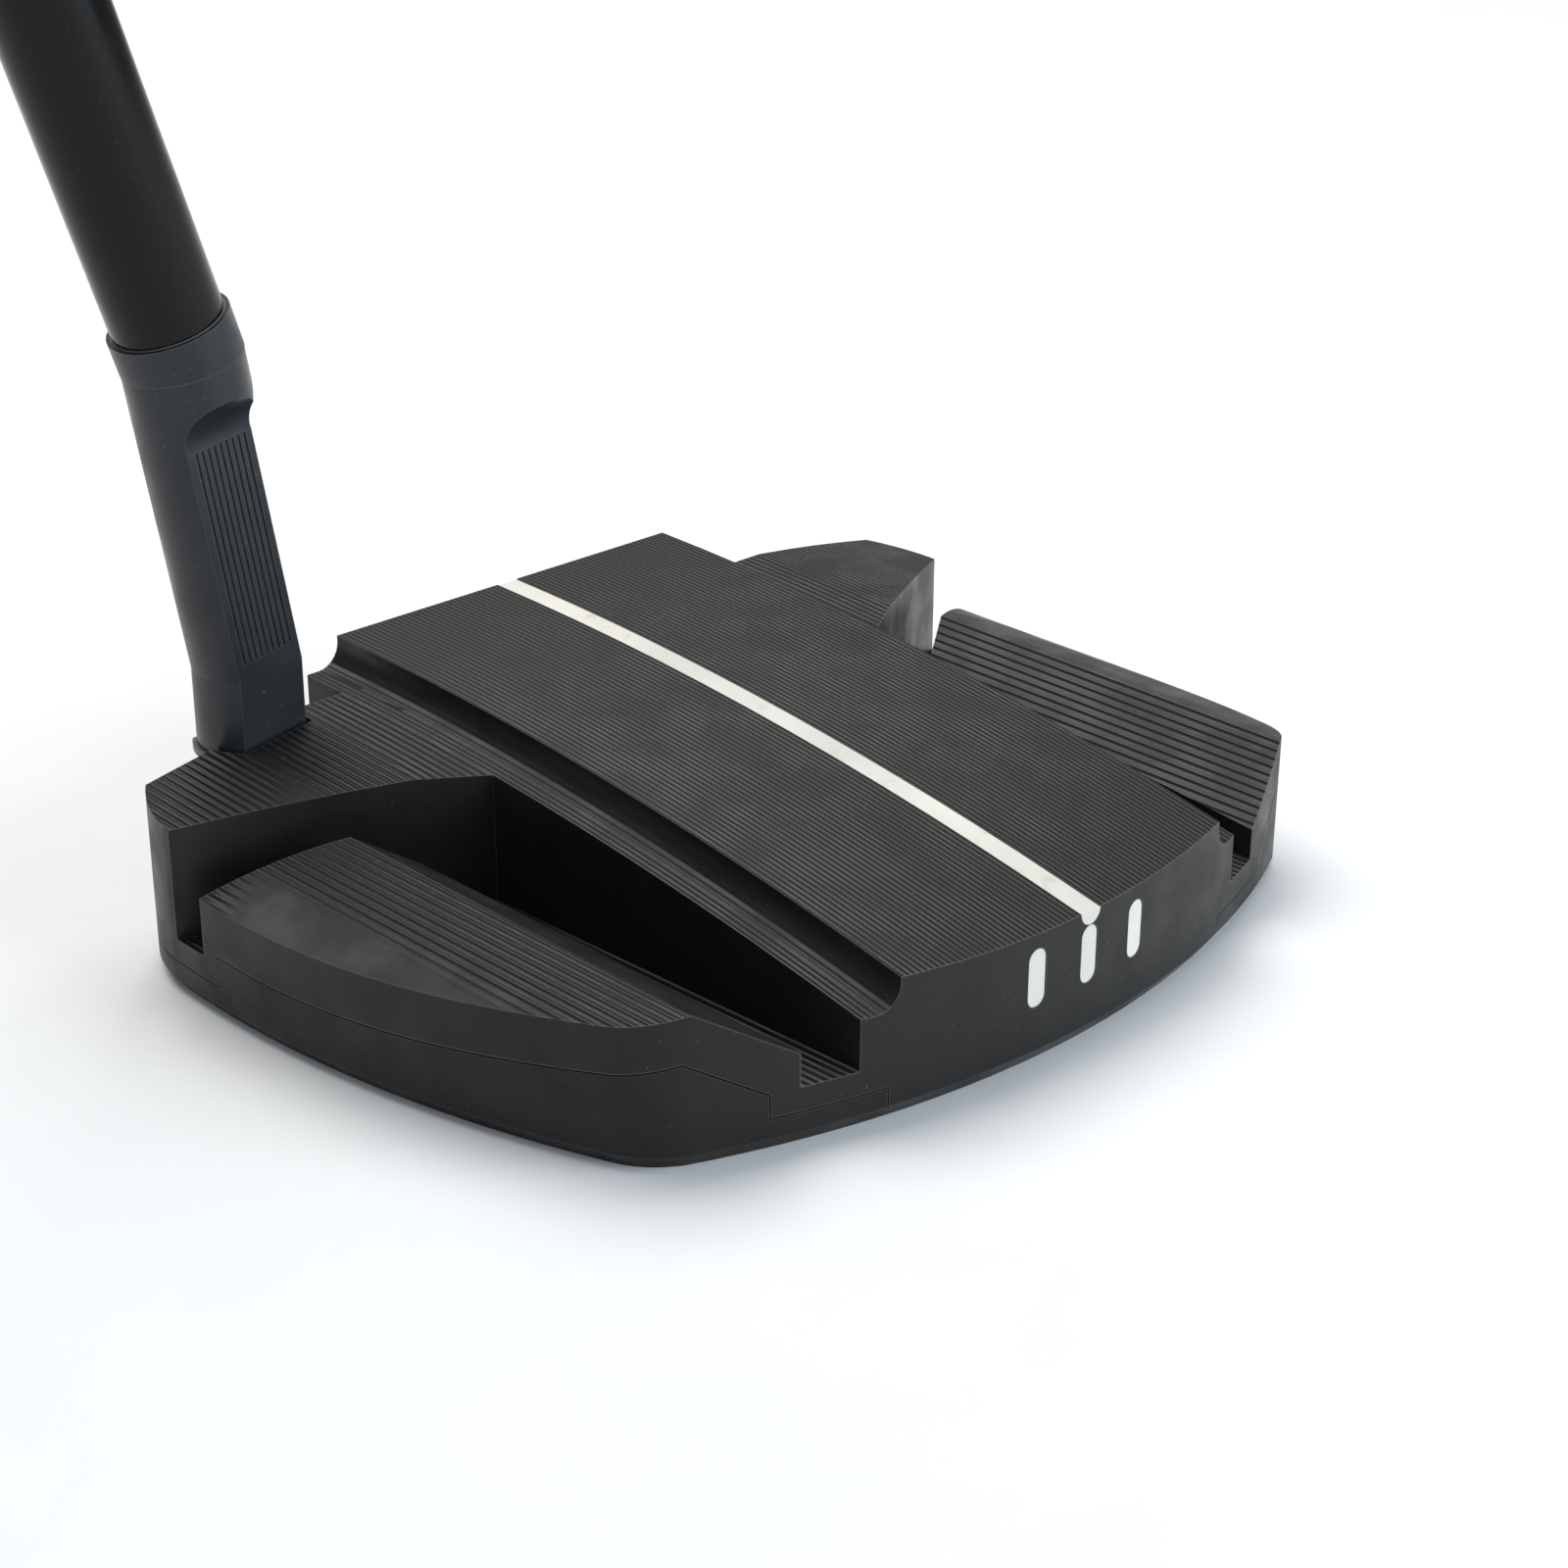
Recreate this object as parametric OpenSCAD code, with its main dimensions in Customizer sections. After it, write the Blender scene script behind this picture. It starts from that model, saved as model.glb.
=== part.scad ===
// Mallet putter, right-handed, millimetres.
// Frame: the flat sole is z = 0 and z points up; y points at the target; x points to the toe.
// The origin is the middle of the sole, under the sight line.
// "back" is the distance behind the face plane, so y = face_y - back.

/* [Head] */
// depth of the head from the face to the rear wall, at the sight line
head_depth = 70.6; // [69:0.2:72]
// greatest width of the head, heel to toe
head_width = 94.8; // [93.4:0.2:96]
// height of the deck above the sole, at the face
deck_front_z = 21.6; // [21:0.1:22.2]
// width of the raised deck
deck_width = 40; // [38:0.5:41]
// radius of the deck's front-to-back curve
crown_r = 368; // [356:2:390]
// height of the cove step between the deck and the shelf
cove_step = 2.8; // [2.4:0.1:3.2]
// width of the white sight line groove
sight_width = 2.4; // [1.6:0.2:3.2]

/* [Channels and slots] */
// distance between the two channel inner walls
channel_inner = 47; // [46.5:0.25:47.5]
// height of the channel floors above the sole
channel_floor_z = 5.2; // [5:0.1:5.6]
// angle of the slot's front wall, from the face plane
slot_angle = 29.5; // [28:0.5:31]

/* [Weights] */
// thickness of the thin part of the steel weights
weight_plate = 3; // [2.8:0.1:3.2]
// gap at the seams between the weights and the body
seam_gap = 0.12; // [0.08:0.02:0.2]

/* [Neck, shaft and grip] */
// diameter of the shaft tip
shaft_tip_d = 9.4; // [9.2:0.1:9.8]
// diameter of the shaft at the butt end
shaft_butt_d = 14.7; // [13.5:0.1:15.5]
// lean of the shaft towards the heel, from vertical
shaft_lean = 18.3; // [16:0.1:20]
// lean of the shaft away from the target
shaft_back_lean = 0.5; // [0:0.1:2]
// length of the club along the shaft
club_length = 889; // [800:1:915]
// length of the grip
grip_length = 267; // [240:1:280]

/* [Hidden] */

$fn = 96;
eps = 0.01;

// colours
black_anodised = [0.09, 0.09, 0.09];
dark_steel = [0.14, 0.14, 0.14];
gloss_black = [0.05, 0.05, 0.05];
paint_white = [0.9, 0.88, 0.84];
rubber_black = [0.06, 0.06, 0.06];
tape_grey = [0.55, 0.53, 0.48];
resin_grey = [0.3, 0.29, 0.27];

// head outline, seen from above: face, side arc and rear arc, joined by corner circles
face_y = head_depth / 2;
side_r = 108;
side_cx = head_width / 2 - side_r;
side_back = 21;
rear_r = 88;
rear_back = head_depth - rear_r;
front_corner_r = 13;
rear_corner_r = 9;
tall = 30;
sole_inset = 1;
sole_rise = 1.4;
// corner circles are this much too large, so that they cross the sides cleanly
overlap = 0.02;

// centre of a front corner circle: touches the face and the side arc from inside
front_side = side_r - front_corner_r;
front_rise = side_back - front_corner_r;
front_cx = side_cx + sqrt(front_side * front_side - front_rise * front_rise);
// centre of a rear corner circle: touches the side arc and the rear arc from inside
arc_span = sqrt(side_cx * side_cx + (rear_back - side_back) * (rear_back - side_back));
corner_side = side_r - rear_corner_r;
corner_rear = rear_r - rear_corner_r;
corner_cos = (arc_span * arc_span + corner_side * corner_side - corner_rear * corner_rear)
  / (2 * arc_span * corner_side);
corner_dir = atan2(rear_back - side_back, -side_cx) + acos(corner_cos);
rear_cx = side_cx + corner_side * cos(corner_dir);
rear_cback = side_back + corner_side * sin(corner_dir);

// the deck and the ledge are turned about one axis, parallel to x, far below the head
crown_slope = 0.041;
crown_axis_back = -crown_slope * crown_r;
crown_axis_z = deck_front_z - crown_r * sqrt(1 - crown_slope * crown_slope);
crown_start = 181.5;
crown_turn = 14;
ledge_r = crown_r - cove_step;
cove_r = 2.3;

// the shelves also fall away towards the heel and toe
shelf_r = 212;
shelf_axis_x = 4.3;
shelf_tilt = 4.1;
shelf_top_z = deck_front_z - cove_step + 0.95;
slot_out_x = 45.6;
slot_out_back = 12.7;
channel_in = channel_inner / 2;

// wings: rounded over a crest line, with a plane that falls inwards to the channel
wing_out_x = 46.5;
wing_out_back = 16.5;
wing_in_x = 31.5;
wing_in_back = 25;
wing_in_slope = 0.075;
wing_r = 37.5;
wing_axis_x = 28.7;
wing_axis_z = -21.7;
wing_tilt = 1.6;
crest_x = 36.4;
crest_back = 22;
crest_z = 14.4;
fall_angle = 31.4;

// raised part of each weight, under the wing
weight_in_x = 21;
weight_front_back = 3;
block_inset = 2.4;
block_setback = 2.1;
skin = 3.9;

// screws that hold the weights, from below
screw_r = 2;
screw_head_r = 3.6;
screw_recess = 0.3;
screw_rim = 0.4;
screw_head_h = 1.9;
screw_gap = 0.03;
screw_top = 10.8;
hex_r = 1.3;
hex_depth = 1.4;
front_screw = [38, 28];
rear_screw = [35.5, 53];

// painted bars in the rear wall
mark_w = 2;
mark_h = 3.2;
mark_pitch = 6.2;
mark_z = 7.9;
mark_depth = 0.5;
paint_drop = 0.1;

// neck: a round bar with flats on its rear, toe side and front, bent above the shelf
neck_r = 5.1;
rear_flat = 3.5;
toe_flat = 2.75;
front_flat = 3.9;
neck_y = face_y - 3.9;
neck_foot = [-32.05, neck_y, 16];
neck_bend = [-32.05, neck_y, 23.9];
neck_top = [-36.6, neck_y, 51];
shaft_dir = [-sin(shaft_lean), -cos(shaft_lean) * sin(shaft_back_lean), cos(shaft_lean) * cos(shaft_back_lean)];
collar_len = 3.5;
joint = neck_top + collar_len * shaft_dir;
neck_lean = atan2(neck_bend[0] - neck_top[0], neck_top[2] - neck_bend[2]);
runout_r = 4;
collar_r = shaft_tip_d / 2 + 0.45;
post_r = 3.85;
post_len = 28;
neck_len = norm(neck_top - neck_bend);
panel_len = neck_len - 6;
rib_count = 9;
rib_pitch = 0.6;
rib_w = 0.3;
rib_depth = 0.16;
rib_start = 1.6;
rib_end = panel_len - 0.4;
pocket_grow = 0.4;
bead_h = 0.6;
tenon_r = 3;
tenon_len = 8;
tenon_gap = 0.05;

// shaft and grip, along the shaft axis from the joint
shaft_wall = 0.6;
bond_gap = 0.02;
bead_line = 0.12;
taper_start = 40;
cap_t = 3;
shaft_len = club_length - joint[2] / cos(shaft_lean) - cap_t;
grip_start = shaft_len - grip_length;
tape_t = 0.2;
grip_small_r = 10;
grip_big_r = 14.2;
grip_butt_r = 12.8;
grip_bulge = 200;
cap_plug_r = 5.5;
vent_r = 1.2;

function taper_r(z) = shaft_tip_d / 2
  + (shaft_butt_d - shaft_tip_d) / 2 * (z - taper_start) / (shaft_len - taper_start);

// a module placed on both sides of the head
module both_sides() {
  for (side = [0, 1])
    mirror([side, 0, 0]) children();
}

// disc with a broken lower edge, like the side walls of the head
module edged_disc(r) {
  rotate_extrude($fn = 240)
    polygon([[0, 0], [r - sole_inset, 0], [r, sole_rise], [r, tall], [0, tall]]);
}

// everything behind the face plane, with the same broken lower edge
module behind_face() {
  translate([-60, 0, 0]) rotate([90, 0, 90]) linear_extrude(120)
    polygon([[-60, 0], [face_y - sole_inset, 0], [face_y, sole_rise], [face_y, tall], [-60, tall]]);
}

// what a corner circle cuts off, between the directions of its two touching points
module corner_waste(cx, back, r, from, to) {
  reach = r + 12;
  middle = (from + to) / 2;
  translate([cx, face_y - back, 0]) difference() {
    translate([0, 0, -1]) linear_extrude(tall + 2)
      polygon([
        [0, 0],
        reach * [cos(from), sin(from)],
        1.6 * reach * [cos(middle), sin(middle)],
        reach * [cos(to), sin(to)],
      ]);
    edged_disc(r + overlap);
    translate([0, 0, tall - 1]) cylinder(r = r + overlap, h = 3);
  }
}

// the whole head outline as one tall solid
module outline() {
  difference() {
    intersection() {
      translate([side_cx, face_y - side_back, 0]) edged_disc(side_r);
      translate([-side_cx, face_y - side_back, 0]) edged_disc(side_r);
      translate([0, face_y - rear_back, 0]) edged_disc(rear_r);
      behind_face();
    }
    both_sides() {
      corner_waste(front_cx, front_corner_r, front_corner_r, atan2(front_rise, front_cx - side_cx), 90);
      corner_waste(rear_cx, rear_cback, rear_corner_r, -atan2(rear_cback - rear_back, rear_cx), -corner_dir);
    }
  }
}

// a [radius, x] profile turned about the crown axis
module crowned() {
  translate([0, face_y - crown_axis_back, crown_axis_z])
    rotate([0, 90, 0]) rotate([0, 0, crown_start])
      rotate_extrude(angle = crown_turn, $fn = 720)
        children();
}

// deck with coves down to the ledges, and the round-bottomed sight line groove
module deck_profile() {
  difference() {
    union() {
      translate([crown_r - tall, -deck_width / 2]) square([tall, deck_width]);
      translate([ledge_r - tall, -channel_in]) square([tall, channel_inner]);
      translate([ledge_r - 1, -deck_width / 2 - cove_r]) square([cove_r + 1, deck_width + 2 * cove_r]);
    }
    for (side = [-1, 1])
      translate([ledge_r + cove_r, side * (deck_width / 2 + cove_r)]) circle(r = cove_r);
    translate([crown_r, 0]) circle(r = sight_width / 2);
  }
}

// the shelf outside one ledge, in front of the slanted slot wall
module shelf() {
  edge_slope = tan(slot_angle);
  intersection() {
    crowned() translate([ledge_r - tall, channel_in - 1]) square([tall, 40]);
    translate([shelf_axis_x, face_y, shelf_top_z - shelf_r])
      rotate([90 + shelf_tilt, 0, 0])
        translate([0, 0, -10]) cylinder(r = shelf_r, h = 60, $fn = 720);
    translate([0, 0, -1]) linear_extrude(tall)
      polygon([
        [channel_in - 2, face_y + 5],
        [60, face_y + 5],
        [60, face_y - slot_out_back + (60 - slot_out_x) * edge_slope],
        [channel_in - 2, face_y - slot_out_back - (slot_out_x - channel_in + 2) * edge_slope],
      ]);
  }
}

// one wing; "inset", "setback" and "drop" move its channel wall, front wall and top inwards
module wing(inset, setback, drop) {
  edge_slope = tan(slot_angle);
  wall_x = wing_in_x + inset + wing_in_slope * wing_in_back;
  front = wing_out_back + setback + edge_slope * wing_out_x;
  tip_back = (front - edge_slope * wall_x) / (1 - edge_slope * wing_in_slope);
  difference() {
    intersection() {
      linear_extrude(tall)
        polygon([
          [wall_x - wing_in_slope * tip_back, face_y - tip_back],
          [60, face_y - front + edge_slope * 60],
          [60, face_y - 80],
          [wall_x - wing_in_slope * 80, face_y - 80],
        ]);
      translate([wing_axis_x, face_y, wing_axis_z])
        rotate([90 + wing_tilt, 0, 0])
          translate([0, 0, -10]) cylinder(r = wing_r - drop, h = 110, $fn = 360);
    }
    translate([crest_x, face_y - crest_back, crest_z - drop / cos(fall_angle)])
      rotate([wing_tilt, -fall_angle, 0])
        translate([-30, -90, 0]) cube([60, 130, 30]);
  }
}

// one steel weight before it is trimmed to the outline; "grow" makes the cavity it sits in
module weight_shape(grow) {
  translate([weight_in_x - grow, -60, -1])
    cube([60, 60 + face_y - weight_front_back + grow, weight_plate + 1 + grow]);
  wing(block_inset - grow, block_setback - grow, skin - grow);
}

// countersunk screw; "gap" makes the hole for it
module screw_shape(p, gap) {
  translate([p[0], face_y - p[1], screw_recess]) {
    translate([0, 0, -gap]) cylinder(r = screw_head_r + gap, h = screw_rim + gap);
    translate([0, 0, screw_rim - eps])
      cylinder(r1 = screw_head_r + gap, r2 = screw_r + gap, h = screw_head_h - screw_rim + eps);
    translate([0, 0, screw_rim]) cylinder(r = screw_r + gap, h = screw_top - screw_recess - screw_rim + gap);
  }
}

module screw_hole(p) {
  screw_shape(p, screw_gap);
  translate([p[0], face_y - p[1], -1]) cylinder(r = screw_head_r + screw_gap, h = 1.2 + screw_recess);
}

module screw(p) {
  color(dark_steel) difference() {
    screw_shape(p, 0);
    translate([p[0], face_y - p[1], 0]) cylinder(r = hex_r, h = screw_recess + hex_depth, $fn = 6);
  }
}

// upright bar with round ends, from "depth" inside the rear wall outwards
module rear_bar(i, trim, depth) {
  difference() {
    translate([i * mark_pitch, 0, mark_z]) rotate([90, 0, 0]) {
      translate([-mark_w / 2 + trim, -mark_h / 2, 0]) cube([mark_w - 2 * trim, mark_h, 60]);
      for (end = [-1, 1])
        translate([0, end * mark_h / 2, 0]) cylinder(r = mark_w / 2 - trim, h = 60);
    }
    translate([0, face_y - rear_back, -1]) cylinder(r = rear_r - depth, h = tall, $fn = 240);
  }
}

module rear_mark(i) {
  color(paint_white) intersection() {
    rear_bar(i, eps, mark_depth - eps);
    translate([0, face_y - rear_back, -1]) cylinder(r = rear_r - paint_drop, h = tall, $fn = 240);
  }
}

// the neck's section without its front flat, grown by "grow"
module foot(grow, h) {
  difference() {
    cylinder(r = neck_r + grow, h = h);
    translate([-10, -rear_flat - grow - 20, -1]) cube([20, 20, h + 2]);
    translate([toe_flat + grow, -10, -1]) cube([20, 20, h + 2]);
  }
}

// round bar with flats on its rear, toe side and front, up to height "flat_h"
module flat_bar(h, flat_h) {
  difference() {
    cylinder(r = neck_r, h = h);
    translate([-10, -rear_flat - 20, -1]) cube([20, 20, flat_h + 1]);
    translate([toe_flat, -10, -1]) cube([20, 20, flat_h + 1]);
    translate([-10, front_flat, -1]) cube([20, 20, flat_h + 1]);
  }
}

// flat bar whose rear and toe flats run out in a round; ribs lie lengthwise in the rear flat
module slanted_bar() {
  lap = 2;
  difference() {
    translate([0, 0, -lap]) flat_bar(neck_len + 2 * lap, panel_len + lap);
    translate([0, -rear_flat - runout_r, panel_len])
      rotate([0, 90, 0]) translate([0, 0, -10]) cylinder(r = runout_r + overlap, h = 20);
    translate([toe_flat + runout_r, 0, panel_len])
      rotate([90, 0, 0]) translate([0, 0, -10]) cylinder(r = runout_r + overlap, h = 20);
    for (i = [0 : rib_count - 1])
      translate([-0.45 + (i - (rib_count - 1) / 2) * rib_pitch - rib_w / 2, -rear_flat - 1, rib_start])
        cube([rib_w, 1 + rib_depth, rib_end - rib_start]);
  }
}

module on_shaft() {
  translate(joint) rotate([shaft_back_lean, 0, 0]) rotate([0, -shaft_lean, 0]) children();
}

module head_body() {
  color(black_anodised) difference() {
    intersection() {
      outline();
      union() {
        crowned() deck_profile();
        both_sides() {
          shelf();
          wing(0, 0, 0);
        }
        translate([-60, -60, -1]) cube([120, 120, channel_floor_z + 1]);
      }
    }
    both_sides() {
      weight_shape(seam_gap);
      screw_hole(front_screw);
      screw_hole(rear_screw);
    }
    translate(neck_foot) foot(pocket_grow, tall);
    translate(neck_foot - [0, 0, tenon_len + tenon_gap]) cylinder(r = tenon_r + tenon_gap, h = tenon_len + 1);
    for (i = [-1, 0, 1])
      rear_bar(i, 0, mark_depth);
  }
}

module weight() {
  color(dark_steel) difference() {
    intersection() {
      outline();
      weight_shape(0);
    }
    screw_hole(front_screw);
    screw_hole(rear_screw);
  }
}

module heel_weight() {
  mirror([1, 0, 0]) weight();
}

module toe_weight() {
  weight();
}

module heel_screw_front() {
  mirror([1, 0, 0]) screw(front_screw);
}

module heel_screw_rear() {
  mirror([1, 0, 0]) screw(rear_screw);
}

module toe_screw_front() {
  screw(front_screw);
}

module toe_screw_rear() {
  screw(rear_screw);
}

// paint in the sight line groove, its top a little below the deck
module sight_paint() {
  color(paint_white) intersection() {
    outline();
    crowned() intersection() {
      translate([crown_r, 0]) circle(r = sight_width / 2 - eps);
      translate([crown_r - 3, -3]) square([3 - paint_drop, 6]);
    }
  }
}

module rear_mark_heel() {
  rear_mark(-1);
}

module rear_mark_middle() {
  rear_mark(0);
}

module rear_mark_toe() {
  rear_mark(1);
}

// the half of space above or below a point, divided by a plane with the given rotation
module half_space(point, turn, upper) {
  translate(point) rotate(turn) translate([-20, -20, upper ? 0 : -60]) cube([40, 40, 60]);
}

// upright, slanted bar and collar meet in mitres at the two bends
module neck() {
  bend_turn = [0, -neck_lean / 2, 0];
  top_turn = [shaft_back_lean / 2, -(neck_lean + shaft_lean) / 2, 0];
  color(dark_steel) union() {
    translate(neck_foot - [0, 0, tenon_len]) cylinder(r = tenon_r, h = tenon_len + 1);
    intersection() {
      translate(neck_foot + [0, 0, tenon_gap]) flat_bar(12, 13);
      half_space(neck_bend, bend_turn, false);
    }
    intersection() {
      translate(neck_bend) rotate([0, -neck_lean, 0]) slanted_bar();
      half_space(neck_bend, bend_turn, true);
      half_space(neck_top, top_turn, false);
    }
    intersection() {
      on_shaft() translate([0, 0, -collar_len - 2]) cylinder(r = collar_r, h = collar_len + 2);
      half_space(neck_top, top_turn, true);
    }
    on_shaft() translate([0, 0, -1]) cylinder(r = post_r, h = post_len + 1);
  }
}

// resin bead round the foot of the neck
module neck_bond() {
  color(resin_grey) difference() {
    translate(neck_foot) foot(pocket_grow - bond_gap, bead_h);
    translate(neck_foot - [0, 0, 1]) foot(bond_gap, bead_h + 2);
    translate([-60, face_y - 0.25, 0]) cube([60, 5, tall]);
  }
}

module shaft() {
  bore = shaft_tip_d / 2 - shaft_wall;
  color(gloss_black) on_shaft() difference() {
    union() {
      translate([0, 0, bead_line]) cylinder(r = shaft_tip_d / 2, h = taper_start - bead_line);
      translate([0, 0, taper_start - eps])
        cylinder(r1 = shaft_tip_d / 2, r2 = shaft_butt_d / 2, h = shaft_len - taper_start + eps);
    }
    translate([0, 0, -1]) cylinder(r = bore, h = taper_start + 1.01);
    translate([0, 0, taper_start])
      cylinder(r1 = bore, r2 = shaft_butt_d / 2 - shaft_wall, h = shaft_len - taper_start + 1);
  }
}

// resin between the shaft and the post, with a thin line showing at the collar
module shaft_bond() {
  color(resin_grey) on_shaft() difference() {
    union() {
      translate([0, 0, bond_gap]) cylinder(r = shaft_tip_d / 2 + 0.1, h = bead_line - 2 * bond_gap);
      translate([0, 0, bond_gap]) cylinder(r = shaft_tip_d / 2 - shaft_wall - bond_gap, h = post_len - 2);
    }
    translate([0, 0, -1]) cylinder(r = post_r + bond_gap, h = post_len + 2);
  }
}

module grip_tape() {
  color(tape_grey) on_shaft() difference() {
    translate([0, 0, grip_start])
      cylinder(r1 = taper_r(grip_start) + tape_t, r2 = taper_r(shaft_len) + tape_t, h = grip_length);
    translate([0, 0, grip_start - eps])
      cylinder(r1 = taper_r(grip_start) + bond_gap, r2 = taper_r(shaft_len) + bond_gap, h = grip_length + 2 * eps);
  }
}

// pistol grip: two cones that meet at the bulge, with a flat along the upper side
module grip() {
  color(rubber_black) on_shaft() difference() {
    translate([0, 0, grip_start]) {
      cylinder(r1 = grip_small_r, r2 = grip_big_r, h = grip_bulge);
      translate([0, 0, grip_bulge - eps])
        cylinder(r1 = grip_big_r, r2 = grip_butt_r, h = grip_length - grip_bulge);
    }
    translate([9.2, -30, grip_start - 1]) rotate([0, 0.4, 0]) cube([20, 60, grip_length + 5]);
    translate([0, 0, grip_start - 1])
      cylinder(r1 = taper_r(grip_start) + 0.24, r2 = taper_r(shaft_len) + 0.24, h = grip_length + 2);
  }
}

module grip_cap() {
  color(rubber_black) on_shaft() translate([0, 0, shaft_len]) difference() {
    union() {
      translate([0, 0, bond_gap]) cylinder(r1 = grip_butt_r, r2 = grip_butt_r - 1, h = cap_t - bond_gap);
      translate([0, 0, -8]) cylinder(r = cap_plug_r, h = 8 + 2 * bond_gap);
    }
    translate([11, -30, -1]) cube([20, 60, 10]);
    translate([0, 0, -9]) cylinder(r = vent_r, h = 15);
  }
}

head_body();
heel_weight();
toe_weight();
heel_screw_front();
heel_screw_rear();
toe_screw_front();
toe_screw_rear();
sight_paint();
rear_mark_heel();
rear_mark_middle();
rear_mark_toe();
neck();
neck_bond();
shaft();
shaft_bond();
grip_tape();
grip();
grip_cap();
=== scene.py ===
"""Mallet putter: materials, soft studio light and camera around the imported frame.

Metres, in the frame of the CAD: +Z up, +Y towards the target, +X towards the toe.
"""
import math

import bpy
from mathutils import Matrix, Vector

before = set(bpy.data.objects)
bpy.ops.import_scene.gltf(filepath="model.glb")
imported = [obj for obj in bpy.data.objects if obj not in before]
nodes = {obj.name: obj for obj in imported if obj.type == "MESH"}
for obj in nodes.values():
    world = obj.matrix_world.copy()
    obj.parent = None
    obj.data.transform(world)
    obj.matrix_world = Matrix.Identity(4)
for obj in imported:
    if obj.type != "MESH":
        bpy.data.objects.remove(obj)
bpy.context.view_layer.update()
MM = 0.001

# ribs and lines in the top of the head, measured across it
LEDGE_X = 23.5 * MM                     # outer edge of the ledge; coarse ribs outside, fine lines inside
RIB_PITCH, RIB_DEPTH = 0.74 * MM, 0.11 * MM
LINE_PITCH, LINE_DEPTH = 0.56 * MM, 0.05 * MM
RIM_START, RIM_END = 41.5 * MM, 44.5 * MM    # the ribs fade out between these, on the wings
WING_START, WING_END = 19 * MM, 14 * MM      # y at which shelf turns to wing
DUST = 2600                             # specks of dust per metre


class Finish:
    """One procedural material. Its steps add nodes that read the object's own coordinates."""

    def __init__(self, name, colour, roughness, metallic=0.0, specular=0.5, uneven=0.12):
        self.material = bpy.data.materials.new(name)
        self.material.use_nodes = True
        self.tree = self.material.node_tree
        self.shader = self.tree.nodes["Principled BSDF"]
        self.shader.inputs["Metallic"].default_value = metallic
        self.shader.inputs["Specular IOR Level"].default_value = specular
        self.roughness = roughness
        self.place = self.add("ShaderNodeTexCoord").outputs["Object"]
        self.split = self.add("ShaderNodeSeparateXYZ")
        self.link(self.place, self.split.inputs[0])
        self.surface = self.add("ShaderNodeNewGeometry")
        self.height = None
        self.colour = self.shade(colour, uneven)

    def add(self, kind, **settings):
        node = self.tree.nodes.new(kind)
        for key, value in settings.items():
            setattr(node, key, value)
        return node

    def link(self, output, socket):
        self.tree.links.new(output, socket)

    def math(self, operation, *values):
        """A Math node; each value is a number or another node's output."""
        node = self.add("ShaderNodeMath", operation=operation)
        for socket, value in zip(node.inputs, values):
            if isinstance(value, (int, float)):
                socket.default_value = value
            else:
                self.link(value, socket)
        return node.outputs[0]

    def noise(self, per_metre, detail, stretch=(1, 1, 1)):
        """Cloudy noise from 0 to 1."""
        spread = self.add("ShaderNodeMapping")
        spread.inputs["Scale"].default_value = stretch
        self.link(self.place, spread.inputs["Vector"])
        node = self.add("ShaderNodeTexNoise")
        node.inputs["Scale"].default_value = per_metre
        node.inputs["Detail"].default_value = detail
        self.link(spread.outputs[0], node.inputs["Vector"])
        return node.outputs["Fac"]

    def band(self, value, low, high, start=0.0, end=1.0):
        """Turns value from start at low to end at high, smoothly."""
        node = self.add("ShaderNodeMapRange")
        node.interpolation_type = "SMOOTHSTEP"
        for socket, number in zip(node.inputs[1:5], (low, high, start, end)):
            socket.default_value = number
        self.link(value, node.inputs[0])
        return node.outputs[0]

    def shade(self, colour, uneven):
        """Base colour with a slow uneven tone."""
        ramp = self.add("ShaderNodeValToRGB")
        dark, light = ramp.color_ramp.elements
        dark.position = 0.35
        light.position = 0.65
        dark.color = [c * (1 - uneven) for c in colour] + [1]
        light.color = [min(c * (1 + uneven), 1) for c in colour] + [1]
        self.link(self.noise(60, 4), ramp.inputs[0])
        return ramp.outputs[0]

    def over(self, amount, colour):
        """Lays a colour over the base where amount is high."""
        mix = self.add("ShaderNodeMix", data_type="RGBA")
        self.link(amount, mix.inputs["Factor"])
        self.link(self.colour, mix.inputs[6])
        mix.inputs[7].default_value = (*colour, 1)
        self.colour = mix.outputs[2]

    def raise_by(self, value, amount):
        """Adds value times amount, in metres, to the bump height."""
        part = self.math("MULTIPLY", value, amount)
        self.height = part if self.height is None else self.math("ADD", self.height, part)

    def grooves(self, across, pitch, sharp=1.0):
        """0 to 1 wave that repeats every pitch along one coordinate."""
        turn = self.math("MULTIPLY", across, 2 * math.pi / pitch)
        wave = self.math("MULTIPLY_ADD", self.math("SINE", turn), 0.5, 0.5)
        return self.math("POWER", wave, sharp)

    def specks(self, per_metre, amount, colour):
        """Small dust specks and chips."""
        self.over(self.band(self.noise(per_metre, 1), 0.74, 0.8, 0, amount), colour)

    def edge_highlight_and_wear(self, radius, amount, colour):
        """Painted edge highlight and wear: thin bright lines laid into the colour where the rounded
        normal leaves the true one.
        """
        rounded = self.add("ShaderNodeBevel", samples=6)
        rounded.inputs["Radius"].default_value = radius
        match = self.add("ShaderNodeVectorMath", operation="DOT_PRODUCT")
        self.link(rounded.outputs[0], match.inputs[0])
        self.link(self.surface.outputs["True Normal"], match.inputs[1])
        ragged = self.math("MULTIPLY", self.noise(900, 3), 0.04)
        edge = self.math("ADD", match.outputs["Value"], ragged)
        self.over(self.band(edge, 0.975, 0.9, 0, amount), colour)

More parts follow.
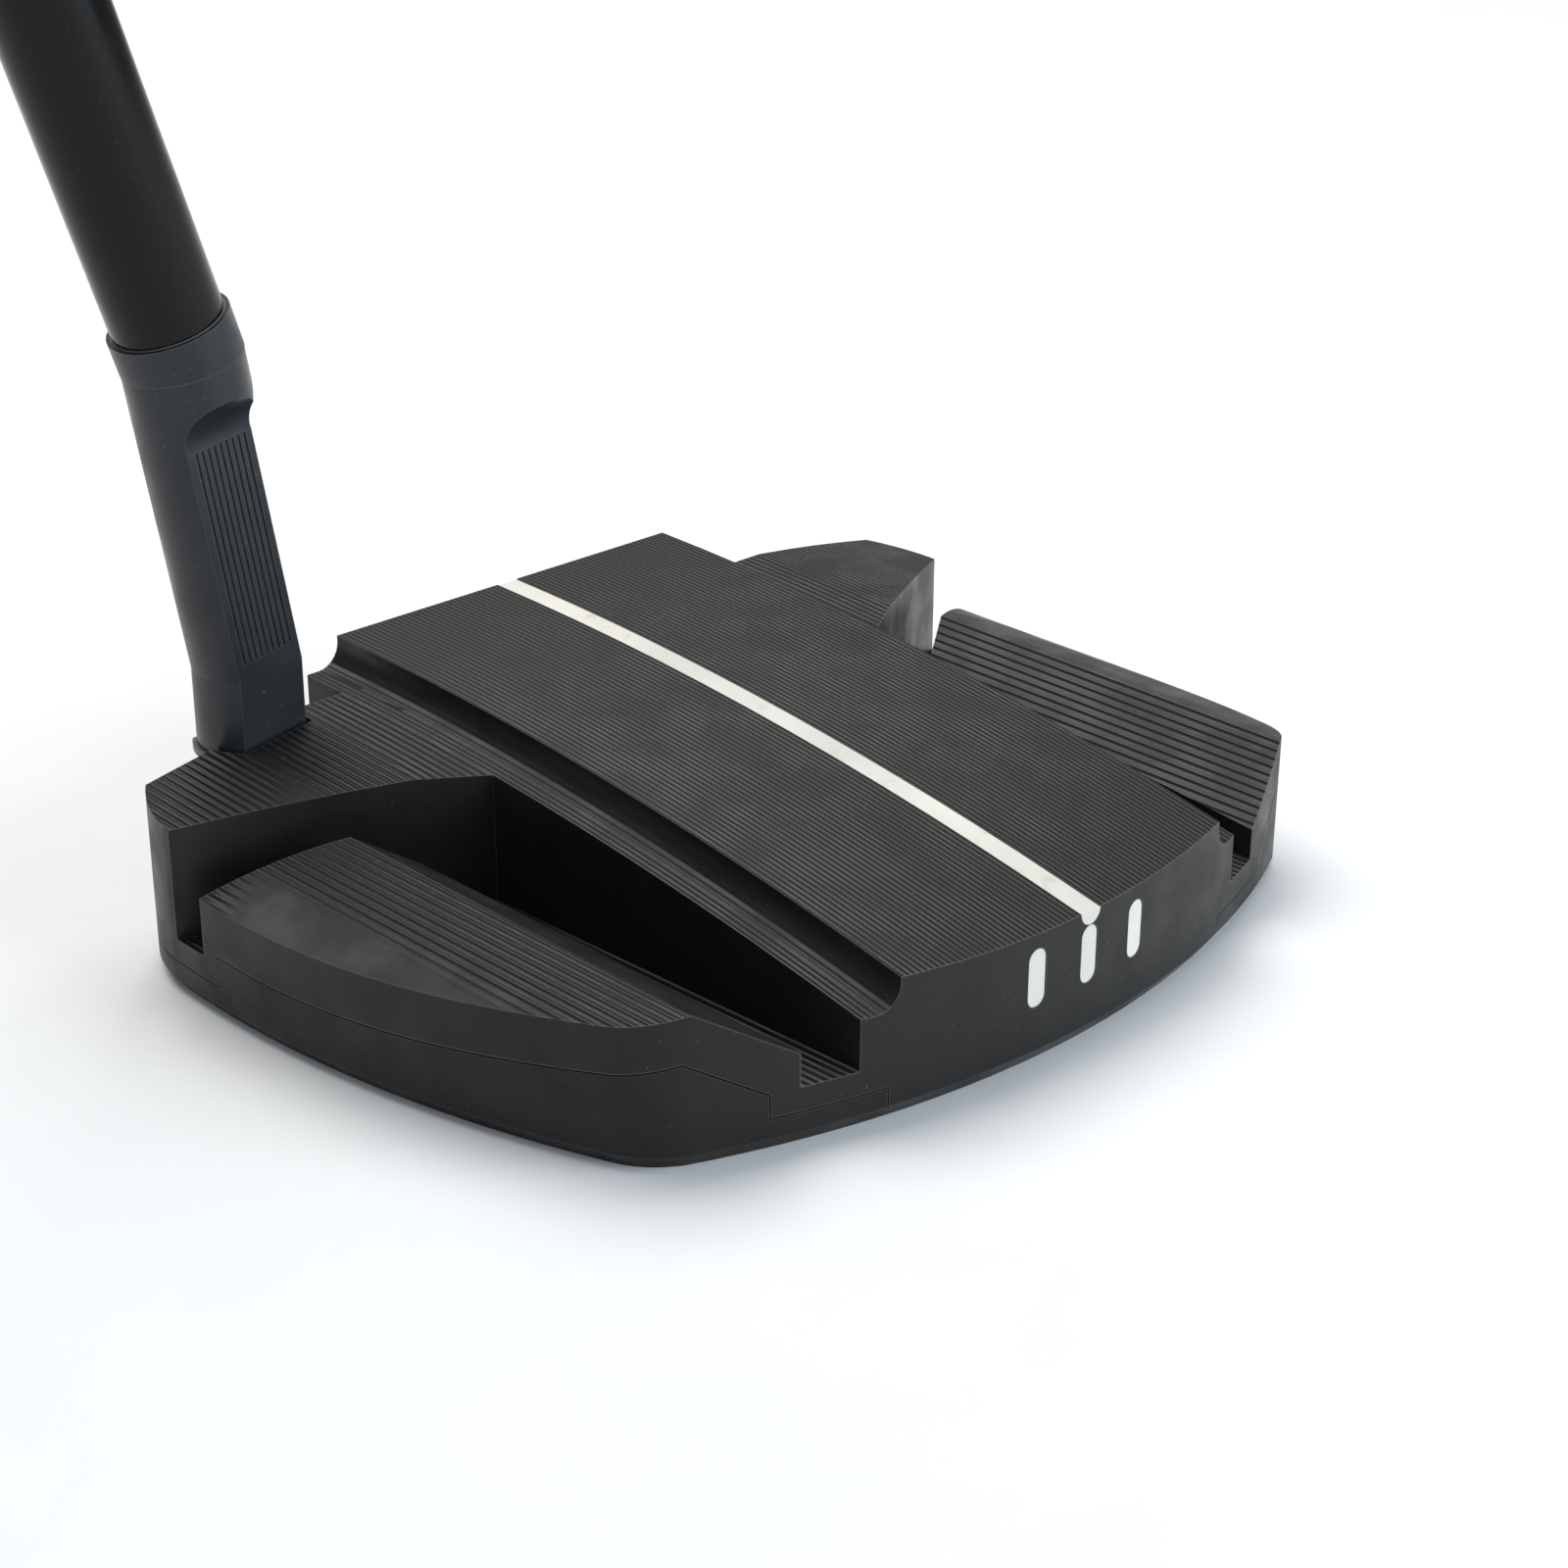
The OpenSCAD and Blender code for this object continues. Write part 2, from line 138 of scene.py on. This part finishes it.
    def done(self, spread=0.08, grain=900, grain_depth=0.004 * MM):
        """Joins colour, uneven roughness and the bump height to the shader."""
        self.link(self.colour, self.shader.inputs["Base Color"])
        low, high = self.roughness - spread, self.roughness + spread
        uneven = self.band(self.noise(220, 4), 0.3, 0.7, low, high)
        self.link(uneven, self.shader.inputs["Roughness"])
        self.raise_by(self.noise(grain, 2), grain_depth)
        bump = self.add("ShaderNodeBump")
        bump.inputs["Strength"].default_value = 1
        bump.inputs["Distance"].default_value = 1
        self.link(self.height, bump.inputs["Height"])
        self.link(bump.outputs[0], self.shader.inputs["Normal"])
        return self.material


def head_finish():
    """Black anodised metal: coarse ribs on shelves and wings, fine lines on the deck."""
    f = Finish("head_black", (0.0125, 0.0121, 0.0114), 0.42, metallic=0.1, specular=0.27)
    facing = f.add("ShaderNodeSeparateXYZ")
    f.link(f.surface.outputs["True Normal"], facing.inputs[0])
    upward = f.band(facing.outputs[2], 0.55, 0.8)
    x, y = f.split.outputs[0], f.split.outputs[1]
    from_middle = f.math("ABSOLUTE", x)
    outside = f.math("GREATER_THAN", from_middle, LEDGE_X)
    inside = f.math("SUBTRACT", 1, outside)
    rim = f.band(from_middle, RIM_START, RIM_END)
    on_wing = f.band(y, WING_START, WING_END)
    ribbed = f.math("SUBTRACT", outside, f.math("MULTIPLY", rim, on_wing))
    ribs = f.math("MULTIPLY", f.grooves(x, RIB_PITCH, 1.4), ribbed)
    lines = f.math("MULTIPLY", f.grooves(x, LINE_PITCH), inside)
    f.raise_by(f.math("MULTIPLY", ribs, upward), RIB_DEPTH)
    f.raise_by(f.math("MULTIPLY", lines, upward), LINE_DEPTH)
    f.specks(DUST, 0.3, (0.16, 0.155, 0.15))
    # painted highlight along the chamfered edges, partly also edge wear
    f.edge_highlight_and_wear(0.2 * MM, 0.45, (0.17, 0.17, 0.165))
    return f.done()


def steel_finish(name, colour, roughness, across=2, pitch=0.35):
    """Dark steel with fine machining lines."""
    f = Finish(name, colour, roughness, metallic=0.3, specular=0.3)
    f.raise_by(f.grooves(f.split.outputs[across], pitch * MM), 0.004 * MM)
    f.specks(DUST, 0.25, (0.15, 0.145, 0.14))
    # painted highlight along the chamfered edges, partly also edge wear
    f.edge_highlight_and_wear(0.15 * MM, 0.35, (0.14, 0.14, 0.135))
    return f.done()


def paint_finish():
    """Off-white paint, a little soiled."""
    f = Finish("white_paint", (0.66, 0.63, 0.57), 0.5, specular=0.4)
    f.over(f.band(f.noise(500, 5), 0.58, 0.75, 0, 0.35), (0.4, 0.38, 0.34))
    return f.done(grain=1500, grain_depth=0.01 * MM)


def neck_finish():
    """Satin steel neck with scratches along its length."""
    f = Finish("neck_steel", (0.018, 0.0205, 0.025), 0.36, metallic=0.2, specular=0.4)
    f.raise_by(f.noise(900, 2, (1, 1, 0.08)), 0.008 * MM)
    f.specks(DUST, 0.35, (0.2, 0.2, 0.2))
    # painted highlight along the chamfered edges, partly also edge wear
    f.edge_highlight_and_wear(0.15 * MM, 0.5, (0.16, 0.165, 0.17))
    return f.done()


def shaft_finish():
    """Gloss black lacquer with faint rub marks."""
    f = Finish("shaft_black", (0.002, 0.002, 0.0025), 0.2, specular=0.22)
    f.specks(DUST, 0.2, (0.1, 0.1, 0.1))
    return f.done(spread=0.05, grain=300, grain_depth=0.002 * MM)


def rubber_finish():
    """Matte rubber with a fine diamond pattern."""
    f = Finish("grip_rubber", (0.018, 0.018, 0.019), 0.7)
    rising = f.math("ADD", f.split.outputs[2], f.split.outputs[1])
    falling = f.math("SUBTRACT", f.split.outputs[2], f.split.outputs[1])
    f.raise_by(f.grooves(rising, 3 * MM, 3), 0.08 * MM)
    f.raise_by(f.grooves(falling, 3 * MM, 3), 0.08 * MM)
    return f.done(grain=2500, grain_depth=0.02 * MM)


def plain_finish(name, colour, roughness, grain_depth, uneven=0.12):
    """A plain colour with a fine grain."""
    f = Finish(name, colour, roughness, uneven=uneven)
    return f.done(grain=1800, grain_depth=grain_depth)


def dress(node, material):
    """Gives a CAD node its material."""
    slots = nodes[node].data.materials
    slots.clear()
    slots.append(material)


weight_steel = steel_finish("weight_steel", (0.017, 0.0145, 0.013), 0.45)
screw_steel = steel_finish("screw_steel", (0.05, 0.05, 0.05), 0.4, across=0, pitch=0.3)
white_paint = paint_finish()
neck_steel = neck_finish()
resin = plain_finish("resin", (0.11, 0.105, 0.095), 0.45, 0.03 * MM)
rubber = rubber_finish()
tape = plain_finish("tape", (0.5, 0.47, 0.4), 0.8, 0.02 * MM)

dress("head_body", head_finish())
for side in ("heel", "toe"):
    dress(f"{side}_weight", weight_steel)
    dress(f"{side}_screw_front", screw_steel)
    dress(f"{side}_screw_rear", screw_steel)
for name in ("sight_paint", "rear_mark_heel", "rear_mark_middle", "rear_mark_toe"):
    dress(name, white_paint)
dress("neck", neck_steel)
dress("neck_bond", resin)
dress("shaft_bond", resin)
dress("shaft", shaft_finish())
dress("grip_tape", tape)
dress("grip", rubber)
dress("grip_cap", rubber)


def floor():
    """Pale flat floor, a grid of squares."""
    count = 24
    half = 6.0
    points = []
    for i in range(count + 1):
        for j in range(count + 1):
            points.append((half * (2 * i / count - 1), half * (2 * j / count - 1), 0))
    faces = []
    for i in range(count):
        for j in range(count):
            a = i * (count + 1) + j
            faces.append((a, a + count + 1, a + count + 2, a + 1))
    mesh = bpy.data.meshes.new("floor")
    mesh.from_pydata(points, [], faces)
    obj = bpy.data.objects.new("floor", mesh)
    bpy.context.scene.collection.objects.link(obj)
    card = plain_finish("pale_floor", (0.84, 0.84, 0.84), 0.8, 0.01 * MM, uneven=0.01)
    mesh.materials.append(card)


def softbox(name, place, target, width, height, power, colour):
    """Rectangular area light at place, turned to target."""
    light = bpy.data.lights.new(name, "AREA")
    light.shape = "RECTANGLE"
    light.size = width
    light.size_y = height
    light.energy = power
    light.color = colour
    obj = bpy.data.objects.new(name, light)
    obj.location = place
    obj.rotation_euler = (Vector(target) - Vector(place)).to_track_quat("-Z", "Y").to_euler()
    bpy.context.scene.collection.objects.link(obj)


def camera(place, azimuth, fall, tilt, lens):
    """Camera turned azimuth degrees from +Y towards +X, looking down by fall, rolled by tilt."""
    a, e = math.radians(azimuth), math.radians(fall)
    ahead = Vector((math.sin(a) * math.cos(e), math.cos(a) * math.cos(e), -math.sin(e)))
    right = Vector((math.cos(a), -math.sin(a), 0))
    down = ahead.cross(right)
    c, s = math.cos(math.radians(tilt)), math.sin(math.radians(tilt))
    rolled_right = c * right - s * down
    rolled_down = s * right + c * down
    data = bpy.data.cameras.new("view")
    data.lens = lens
    data.sensor_width = 36
    data.clip_start = 0.01
    obj = bpy.data.objects.new("view", data)
    turn = Matrix((rolled_right, -rolled_down, -ahead)).transposed().to_4x4()
    obj.matrix_world = Matrix.Translation(place) @ turn
    bpy.context.scene.collection.objects.link(obj)
    bpy.context.scene.camera = obj


floor()
camera((-0.16956, -0.16612, 0.11629), 45.76, 23.75, 0.246, 68.13)
# a warm box above and in front, and two cool ones behind
softbox("top_box", (0.15, 0.45, 1.0), (0, 0, 0.01), 1.1, 0.9, 13.5, (1.0, 0.985, 0.95))
softbox("rear_box", (0.45, -1.0, 0.4), (0, 0, 0.04), 0.9, 0.6, 12, (0.78, 0.9, 1.0))
softbox("left_box", (-0.75, -0.75, 0.9), (-0.03, 0, 0.1), 0.12, 1.3, 3, (0.78, 0.88, 1.0))

world = bpy.data.worlds.new("studio")
world.use_nodes = True
sky = world.node_tree.nodes["Background"]
sky.inputs["Color"].default_value = (0.94, 0.97, 1.0, 1)
sky.inputs["Strength"].default_value = 0.2
bpy.context.scene.world = world
bpy.context.scene.view_settings.view_transform = "Standard"
